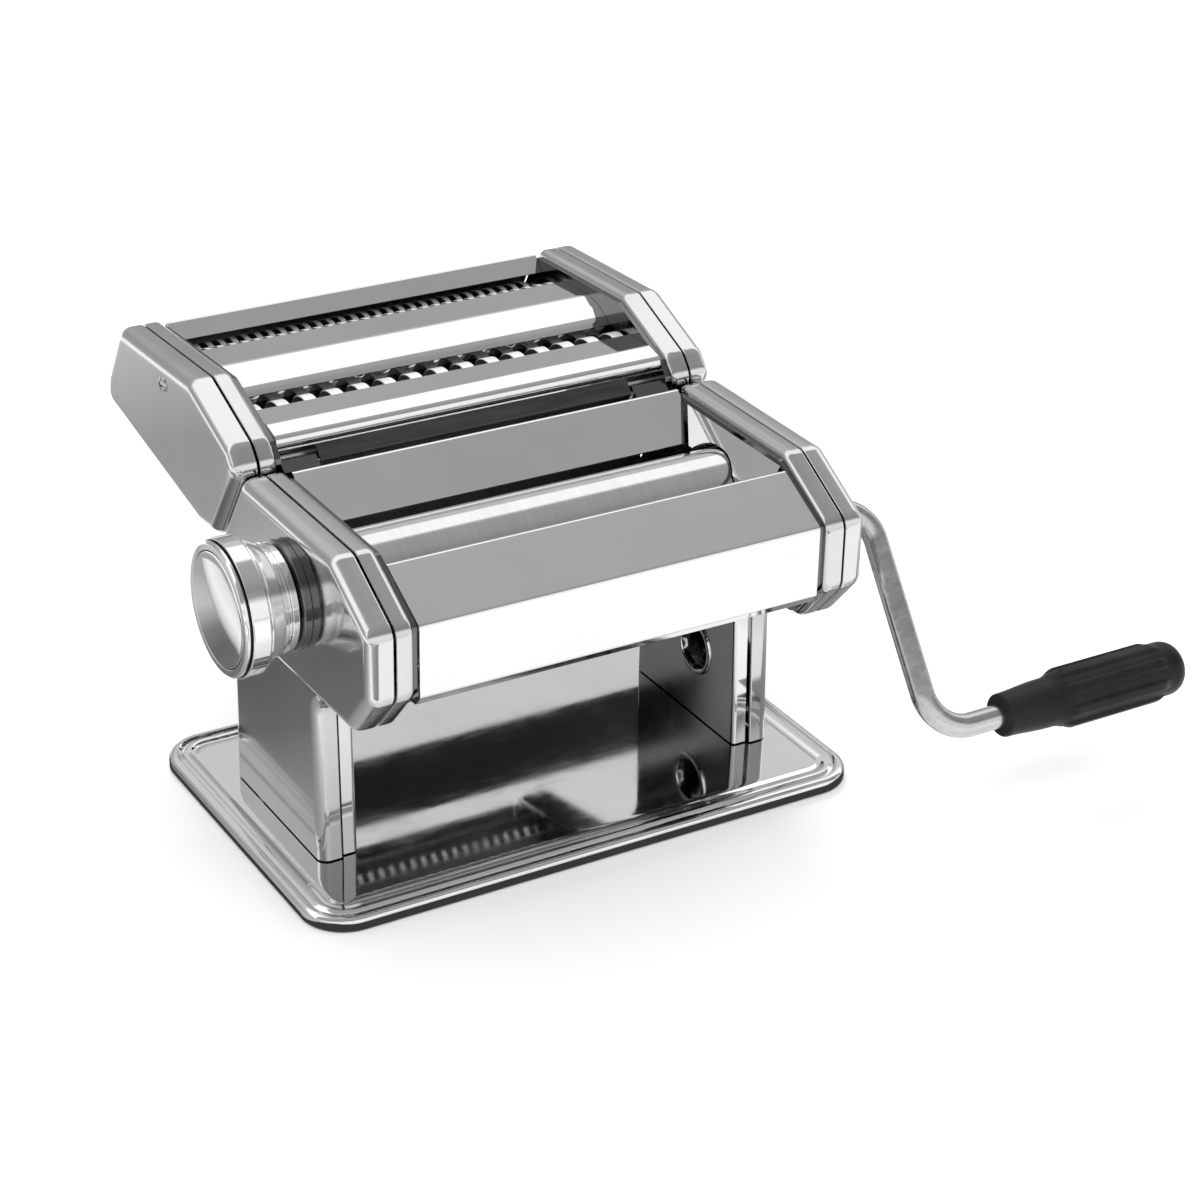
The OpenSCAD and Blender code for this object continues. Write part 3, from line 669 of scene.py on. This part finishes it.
def leg_span(z):
    """Front and back of a leg at height z; its top flares into the body with a round fillet."""
    taper_height, start, flare_r = 67.0, LEG_HIGH[2] - 9.0, 9.3
    rise = (z - LEG_LOW[2]) / taper_height
    flare = max(0.0, z - start)
    spread = flare_r - math.sqrt(flare_r ** 2 - flare ** 2) if flare else 0.0
    return -30.5 + 2.2 * rise - spread, 32.5 - 1.7 * rise + 0.6 * spread


def channel(name, side, path_at, t, bend, z0, z1):
    """A bent channel standing on Z: path_at(z) gives its path in plan."""
    flared = z1 - 9.2 + 9.2 * np.sin(np.linspace(0, math.pi / 2, 12))
    rings = []
    for z in [z0, *flared]:
        outline = sheet_outline(path_at(z), t, bend)
        rings.append([(side * q[0], q[1], z) for q in outline])
    return loft(name, rings)


def make_leg(side, label):
    """A leg's outer cover, and the side frame: its inner leg, its beaded hole and its plate."""
    outer, seam = LEG_HIGH[0], LEG_LOW[0] + SEAM_GAP + 0.2
    low, high = LEG_LOW[2] + 0.5, LEG_HIGH[2]

    def cover_path(z):
        front, back = leg_span(z)
        return [(seam, back), (outer, back), (outer, front), (seam, front)]

    cover = channel(label + "_leg_shell", side, cover_path, 1.2, 3.2, low, high)
    finish_piece(cover, "frame", "polished_steel", label + "_leg_cover", material=BAND)

    def inner_path(z):
        front, back = leg_span(z)
        return [(LEG_LOW[0] - SEAM_GAP, front + 0.15), (SIDE_X, front + 0.15),
                (SIDE_X, back - 0.15), (LEG_LOW[0] - SEAM_GAP, back - 0.15)]

    frame_leg = channel("frame_leg", side, inner_path, -1.8, 1.6, low, high - 0.3)
    plate_outline = fillet(inset_outline(BODY_OUTLINE, 2.4), 3, 6, closed=True)
    plate = extrude_x("frame_plate", plate_outline, side * SIDE_X, side * (SIDE_X + 1.8))
    leg_hole = drill(LEG_HOLE, LEG_HOLE_R, side * (SIDE_X - 2), side * (SIDE_X + 3))
    frame_leg = cut(frame_leg, [leg_hole])
    window = extrude_x("window", [(-29.2, 88.8), (-10.1, 88.8), (-10.1, 105.2), (-29.2, 105.2)],
                       side * (SIDE_X - 2), side * (SIDE_X + 4))
    plate = cut(plate, [window, drill(FRONT_AXIS, 9.05, side * (SIDE_X - 2),
                                      side * (SIDE_X + 4))])
    bead_r = LEG_HOLE_R + 1.1
    bead = [(side * (SIDE_X - 0.9 * math.sin(a)), bead_r - 1.1 * math.cos(a))
            for a in np.linspace(0, math.pi, 9)] + [(side * (SIDE_X + 0.4), bead_r)]
    turn = np.linspace(0, 2 * math.pi, 72, endpoint=False)
    bead = loft("hole_bead", [[(x, LEG_HOLE[0] + r * math.cos(a), LEG_HOLE[1] + r * math.sin(a))
                               for a in turn] for x, r in bead], loop=True)
    whole = join(label + "_frame_shell", [plate, frame_leg, bead])
    # the frame shell's dark plated_steel colour is painted shade; its faces that turn to the front and back
    # below the body keep plain polished steel
    finish_piece(whole, "frame", "plated_steel", label + "_side_frame")
    paint(whole, MATERIALS["polished_steel"], lambda at, n: abs(n[1]) > 0.6 and at[2] < 67)


# ---------- end caps and bands ----------

def cap_profile(edge):
    """From the inner face, round the seam's lip, out along the wall and over the edge."""
    start = CAP_X - edge
    outer = [(edge - edge * math.cos(math.radians(a)), start + edge * math.sin(math.radians(a)))
             for a in np.linspace(0, 90, 10)]
    return ([(edge + 3, CAP_X - 1), (edge + 0.5, CAP_X - 1.05), (1.4, start - 0.4),
             (1.0, start - 1.5), (1.0, SEAM_X + 0.4), (0.9, SEAM_X + SEAM_GAP),
             (0.45, SEAM_X + SEAM_GAP + 0.05), (0.12, SEAM_X + SEAM_GAP + 0.25),
             (0, SEAM_X + SEAM_GAP + 0.7), (0, start - 1.5)]
            + outer + [(edge + 1.2, CAP_X), (edge + 4, CAP_X)])


def band_profile(edge):
    """From the seam's lip, in along the wall, over the inner edge and back inside."""
    start = BAND_X + edge
    outer = [(edge - edge * math.cos(math.radians(a)), start - edge * math.sin(math.radians(a)))
             for a in np.linspace(0, 90, 8)]
    return ([(1.0, SEAM_X - SEAM_GAP - 0.5), (0.85, SEAM_X - SEAM_GAP),
             (0.4, SEAM_X - SEAM_GAP - 0.05), (0.1, SEAM_X - SEAM_GAP - 0.25),
             (0, SEAM_X - SEAM_GAP - 0.7), (0, start + 0.8)]
            + outer + [(edge + 0.9, BAND_X), (edge + 0.9, BAND_X + 1.0), (edge, BAND_X + 1.05),
                       (1.6, BAND_X + 1.6), (1.0, BAND_X + 2.4)])


def make_ends(outline, body, prefix, holes):
    """Both caps and both bands of the body or the cutter head."""
    for side, label in ((-1, "left"), (1, "right")):
        cap = pressed(prefix + label + "_cap_shell", outline, CORNER_R, cap_profile(4.5),
                      side_place(side))
        tools = [drill(at, r, side * (CAP_X - 4), side * (CAP_X + 2)) for at, r in holes[label]]
        if tools:
            cut(cap, tools)
        cap_node = f"{prefix}{label}_cap" if prefix else f"{label}_body_cap"
        band_node = f"{prefix}{label}_band" if prefix else f"{label}_body_band"
        finish_piece(cap, body, "polished_steel", cap_node, material=SATIN)
        rings = []
        for d, h in band_profile(2.6):
            corners = fillet(inset_outline(outline, d), max(CORNER_R - d, 0.5), 8, closed=True)
            rings.append([(side * h, c[0], c[1]) for c in corners])
        band = loft(prefix + label + "_band_shell", rings, loop=True)
        finish_piece(band, body, "polished_steel", band_node, material=BAND)


# ---------- folded panels ----------

def make_panel(name, path, t, bend, body, *nodes):
    """A folded sheet between the side plates; the side that faces its head's middle gets painted shade."""
    panel = extrude_x(name, sheet_outline(path, t, bend), 0.1 - SIDE_X, SIDE_X - 0.1)
    finish_piece(panel, body, "polished_steel", *nodes)
    middle = np.array((0, 78, 116) if body == "cutter_head" else (0, -16, 92))
    paint(panel, PAINTED_SHADE, lambda at, n: abs(n[0]) < 0.5 and n[1:] @ unit((middle - at)[1:]) > 0.35)


def make_panels():
    """The body's front and rear sheets, and the cutter head's back, middle and front ones."""
    make_panel("front_fascia", [(-66, 78.5), (-71.5, 78.5), (-74.5, 82.2), (-74.5, 106),
                                (-53.2, 117.2), (-51.8, 116.2)], -PANEL_T, 1.5, "frame",
               "front_panel")
    face = DOCK_BODY - 0.8
    make_panel("rear_sheet", [(26, 72), (dock_y(88, face), 88), (dock_y(119.6, face), 119.6),
                              (dock_y(120.9, face) - 1.2, 120.9), (-3.0, 107.7)], PANEL_T, 0.9,
               "frame", "rear_cover")
    make_panel("cutter_back_shell", [(104, 131), (108.8, 136.4), (110.4, 135.0), (121.3, 116.5),
                                     (122.8, 108.6)], -PANEL_T, 1.2, "cutter_head",
               "cutter_back_panel")
    slope = [(57, 127.6), (58.6, 129.6), (64, 132.2), (71, 133.9), (88, 133)]
    make_panel("cutter_middle_shell", slope, -PANEL_T, 6, "cutter_head", "cutter_middle_panel")
    nose = [(30, 121.4), (25, 121.6), (22.3, 124.4), (23.2, 127.8), (30, 129.5), (43, 129)]
    make_panel("cutter_front_shell", nose, -PANEL_T, 2.6, "cutter_head", "cutter_front_bar")
    # the apron under the front bar is a dark sheet whose colour is painted shade for the gap under the
    # cutter head
    apron = [(dock_y(96.5, 82), 96.5), (dock_y(118.8, 82), 118.8), (22.4, 123.1)]
    apron = extrude_x("cutter_apron", sheet_outline(apron, -PANEL_T, 1.0), -57, 57)
    finish_piece(apron, "cutter_head", "polished_steel", material=PAINTED_SHADE)


# ---------- rollers ----------

def roller_profile(shaft_left, shaft_right, r, left_r, right_r, barrel):
    """A smooth barrel with eased ends, and a journal on each side."""
    soft = 0.7
    raw = [(shaft_left, 0), (shaft_left, left_r), (-barrel, left_r), (-barrel, r), (barrel, r),
           (barrel, right_r), (shaft_right, right_r), (shaft_right, 0)]
    radii = [0, 0.5, 0, soft, soft, 0, 0.5, 0]
    return [tuple(q) for q in fillet(raw, radii, 4)]


def socket_cut(roller, at):
    """The keyed crank socket in a driven roller's right end."""
    key = extrude_x("key", [(at[0] - 1.1, at[1]), (at[0] + 1.1, at[1]), (at[0] + 1.1, at[1] + 5.4),
                            (at[0] - 1.1, at[1] + 5.4)], CAP_X - 13, CAP_X + 1)
    return cut(roller, [drill(at, SOCKET_R, CAP_X - 15, CAP_X + 1), key])


def make_rollers():
    low, high = mm_box("front_roller")
    front = lathe("front_roller_turned", roller_profile(low[0], high[0], 15, 6, 7, SIDE_X - 0.7),
                  FRONT_AXIS)
    finish_piece(socket_cut(front, FRONT_AXIS), "drive_roller", "roller_steel", "front_roller")
    low, high = mm_box("rear_roller")
    rear = lathe("rear_roller_turned", roller_profile(low[0], high[0], 15, 6, 6, SIDE_X - 0.7),
                 REAR_AXIS)
    finish_piece(rear, "adjustable_roller", "roller_steel", "rear_roller")


def cutter_profile(low, high, count, pitch, width, right_r):
    """Discs with eased rims between narrower cores, and a journal at each end."""
    disc, core, rim, barrel = 9.8, 7.6, 0.25, SIDE_X - 0.7
    points = [(low, 0), (low, 5), (-barrel, 5), (-barrel, core)]
    for i in range(count):
        x = (i - (count - 1) / 2) * pitch
        points += [(x - width / 2, core), (x - width / 2, disc - rim), (x - width / 2 + rim, disc),
                   (x + width / 2 - rim, disc), (x + width / 2, disc - rim), (x + width / 2, core)]
    return points + [(barrel, core), (barrel, right_r), (high, right_r), (high, 0)]


def make_cutters():
    kinds = [("fine_front", FINE_FRONT_AXIS, 31, 4.5, 2.0, 6.5),
             ("fine_rear", FINE_REAR_AXIS, 30, 4.5, 2.0, 5),
             ("wide_front", WIDE_FRONT_AXIS, 15, 9.6, 4.5, 6.5),
             ("wide_rear", WIDE_REAR_AXIS, 14, 9.6, 4.5, 5)]
    for name, at, count, pitch, width, right_r in kinds:    # only a driven one has a wide journal
        low, high = mm_box(name + "_cutter")
        profile = cutter_profile(low[0], high[0], count, pitch, width, right_r)
        cutter = lathe(name + "_turned", profile, at, 96)
        if right_r > 6:
            cutter = socket_cut(cutter, at)
        finish_piece(cutter, name, "roller_steel", name + "_cutter", material=RIM)
        # the cores between the discs get painted shade
        paint(cutter, PAINTED_SHADE, lambda p, n, at=at: math.hypot(p[1] - at[0], p[2] - at[1]) < 8.6)


# ---------- thickness knob ----------

def make_knob():
    """The thickness knob's turned shell, its domed face, and the collar that stays on the cap."""
    low, high = mm_box("knob_body")
    face, inner = low[0] - 1.5, high[0]
    raw = [(face + 3.0, 0), (face + 3.0, 18.2), (face + 1.6, 18.5), (face + 1.5, 20.3),
           (face + 2.3, 21.2), (face + 2.9, 21.2), (face + 3.0, 20.4), (face + 3.6, 20.4),
           (face + 3.7, 21.8), (face + 9.4, 21.8), (face + 10.0, 20.9), (face + 10.6, 20.9),
           (face + 11.2, 20.5), (face + 15.4, 18.3), (face + 16.0, 17.7), (face + 17.0, 17.6),
           (face + 17.5, 16.6), (face + 18.3, 16.6), (face + 18.7, 17.3), (inner, 17.1),
           (inner, 15.5), (face + 17.0, 15.5), (face + 17.0, 0)]
    radii = [0, 0.2, 0.2, 0.7, 0.7, 0.2, 0, 0, 0.5, 0.5, 0.2, 0.25, 1.4, 1.2, 0.3, 0.3,
             0.2, 0.2, 0.3, 0.5, 0.2, 0.2, 0]
    knob = lathe("knob_shell", [tuple(q) for q in fillet(raw, radii, 5)], REAR_AXIS, 160)
    cut(knob, [drill(REAR_AXIS, 4.3, inner - 18, inner + 1)])
    finish_piece(knob, "thickness_knob", "polished_steel", "knob_body")
    # the seam groove's faces get painted shade
    paint(knob, PAINTED_SHADE, lambda at, n: face + 2.92 < at[0] < face + 3.68
          and 20 < math.hypot(at[1] - REAR_AXIS[0], at[2] - REAR_AXIS[1]) < 21.7)    # seam groove
    dome, rim = 1.4, 18.3
    dome_r = (rim ** 2 + dome ** 2) / (2 * dome)
    crown = [(face + dome_r - math.sqrt(dome_r ** 2 - r * r), r) for r in np.linspace(0, 17.6, 9)]
    profile = crown + [(face + dome + 0.15, 18.15), (face + dome + 0.6, rim - 0.05),
                       (face + dome + 1.2, rim - 0.2), (face + dome + 1.2, 0)]
    cap = lathe("knob_face", profile, REAR_AXIS, 160)
    finish_piece(cap, "thickness_knob", "polished_steel", "knob_cap")
    low, high = mm_box("knob_collar")
    raw = [(low[0], 0), (low[0], 15.8), (low[0] + 0.9, 17.5), (-CAP_X, 17.5), (-CAP_X, 9),
           (high[0], 9), (high[0], 0)]
    collar = lathe("knob_collar_turned", [tuple(q) for q in fillet(
        raw, [0, 0.5, 0.6, 0.3, 0, 0.3, 0], 5)], REAR_AXIS, 128)
    # the collar's dark plated_steel is painted shade, and it also darkens the collar's reflection in the end
    # cap
    finish_piece(cut(collar, [drill(REAR_AXIS, 5.06, low[0] - 1, high[0] + 1)]), "frame",
                 "polished_steel", "knob_collar", material=MATERIALS["plated_steel"])


# ---------- crank and grip ----------

def grip_axis():
    """Y and Z of the grip's axis."""
    return (FRONT_AXIS[0] - CRANK_ARM * math.sin(CRANK_TILT),
            FRONT_AXIS[1] - CRANK_ARM * math.cos(CRANK_TILT))


def make_crank():
    """The bent round rod, and the key at its root."""
    low, high = mm_box("crank_rod")
    y, z = grip_axis()
    path = fillet([(low[0], *FRONT_AXIS), (CRANK_ARM_X, *FRONT_AXIS), (CRANK_ARM_X, y, z),
                   (high[0], y, z)], [0, 12 + 0.1, 14, 0], 14)
    rod = sweep("crank_bent_rod", path, ROD_R)
    key = extrude_x("rod_key", [(FRONT_AXIS[0] - 1, FRONT_AXIS[1] + 3),
                                (FRONT_AXIS[0] + 1, FRONT_AXIS[1] + 3),
                                (FRONT_AXIS[0] + 1, FRONT_AXIS[1] + 5.2),
                                (FRONT_AXIS[0] - 1, FRONT_AXIS[1] + 5.2)], CAP_X - 12, CAP_X - 3)
    finish_piece(join("crank_bent_rod", [rod, key]), "crank", "crank_steel", "crank_rod")


def smooth_step(a, b, x):
    t = min(1.0, max(0.0, (x - a) / (b - a)))
    return t * t * (3 - 2 * t)


def make_grip():
    """A tapered neck, then a body with raised lengthwise ribs, then a rounded end."""
    low, high = mm_box("crank_grip")
    y0, z0 = grip_axis()
    length = high[0] - low[0]
    ribs, around = 8, 192
    stations = sorted(set(np.round(np.concatenate([
        np.linspace(0, 1.2, 6), np.linspace(1.2, length - 9, 80),
        length - 9 + 9 * np.sin(np.linspace(0, math.pi / 2, 16))]), 4)))
    rings = []
    for s in stations:
        neck = 7.3 + 1.0 * smooth_step(0, 18, s) + 1.0 * smooth_step(19, 25, s)
        end = s - (length - 6)
        if end > 0:
            neck *= math.sqrt(max(1e-4, 1 - (end / 6.02) ** 2)) ** 0.55
        if s < 0.8:
            neck -= 0.6 * (1 - s / 0.8) ** 2
        show = smooth_step(22, 26, s) * (1 - smooth_step(length - 12.5, length - 8.5, s))
        ring = []
        for k in range(around):
            a = 2 * math.pi * k / around
            swing = math.cos(ribs * a)
            rib = smooth_step(-0.15, 0.35, swing)
            r = neck + 1.05 * rib * show
            ring.append((low[0] + s, y0 + r * math.cos(a), z0 + r * math.sin(a)))
        rings.append(ring)
    grip = loft("grip_moulding", rings, smooth_angle=60)
    hole = drill((y0, z0), ROD_R + 0.1, low[0] - 1, low[0] + 58)
    finish_piece(cut(grip, [hole]), "grip", "grip_plastic", "crank_grip")


# ---------- small screws ----------

def cross_screw(name, at, side, r, rise):
    """A domed screw head with a cross recess, on an end cap's outer face."""
    dome = [(CAP_X + rise * math.cos(t), r * math.sin(t)) for t in np.linspace(0.02, math.pi / 2, 8)]
    profile = [(side * x, rr) for x, rr in dome] + [(side * (CAP_X - 5), r * 0.5),
                                                    (side * (CAP_X - 5), 0)]
    head = lathe(name, profile, at, 48)
    arm, deep = r * 0.72, CAP_X + rise * 0.25
    slots = []
    for w, h in ((arm, 0.32), (0.32, arm)):
        outline = [(at[0] - w, at[1] - h), (at[0] + w, at[1] - h), (at[0] + w, at[1] + h),
                   (at[0] - w, at[1] + h)]
        slots.append(extrude_x("slot", outline, side * deep, side * (CAP_X + rise + 1)))
    return cut(head, slots)


def make_screws():
    rise = mm_box("body_cap_screw")[1][0] - CAP_X
    screw = cross_screw("body_screw", BODY_SCREW, 1, 3, rise)
    finish_piece(screw, "frame", "fastener_steel", "body_cap_screw")
    heads = [cross_screw("cutter_screw", CUTTER_SCREW, side, 2.8, 1.2) for side in (-1, 1)]
    finish_piece(join("cutter_screws", heads), "cutter_head", "fastener_steel",
                 "cutter_cap_screws")


make_base()
make_leg(-1, "left")
make_leg(1, "right")
make_ends(BODY_OUTLINE, "frame", "", {"left": [(REAR_AXIS, 9.1)], "right": [(FRONT_AXIS, 7.8)]})
make_ends(CUTTER_OUTLINE, "cutter_head", "cutter_",
          {"left": [], "right": [(WIDE_FRONT_AXIS, 7.4), (FINE_FRONT_AXIS, 7.4)]})
make_panels()
make_rollers()
make_cutters()
make_knob()
make_crank()
make_grip()
make_screws()

for cad in frame["nodes"].values():
    if not cad.hide_render:
        bevel(cad, 0.15)
